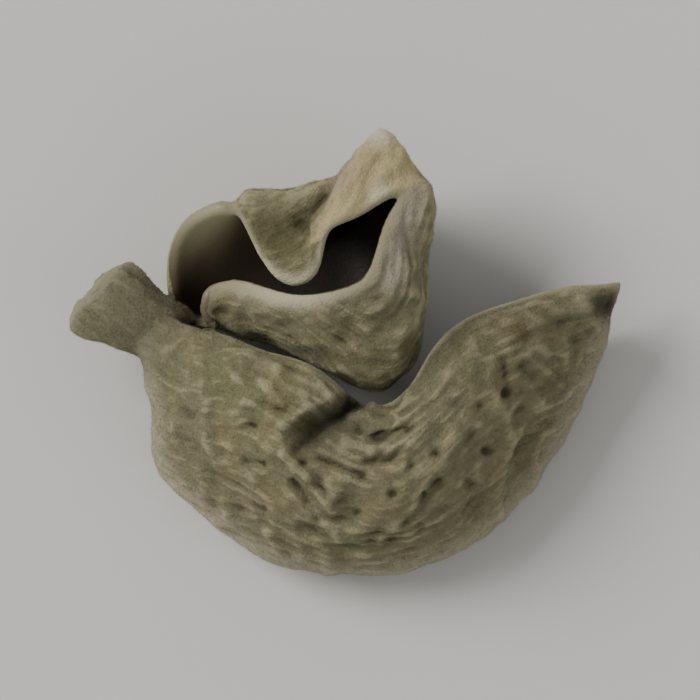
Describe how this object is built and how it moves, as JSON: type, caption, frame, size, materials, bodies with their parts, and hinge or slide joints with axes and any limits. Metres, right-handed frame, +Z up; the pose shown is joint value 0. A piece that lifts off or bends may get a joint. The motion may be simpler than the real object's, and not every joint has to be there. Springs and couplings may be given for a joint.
{
  "type": "dried wood ear mushroom",
  "caption": "Dried wood ear fungus: a thin curled sheet with a cut foot, an arched front lobe and a crumpled cup-shaped rear lobe, lying with its felted side up.",
  "frame": {"origin": "centre of the bounding box in plan, on the surface that the ear lies on", "axes": "+X from the cut foot to the pointed tip, +Y from the front lobe to the rear lobe, +Z up off the surface"},
  "size_m": [0.0408, 0.033, 0.015],
  "materials": {
    "dried_fungus": "matte felt outside, satin inside"
  },
  "bodies": {
    "root": {"wood_ear": "dried_fungus"}
  },
  "joints": []
}
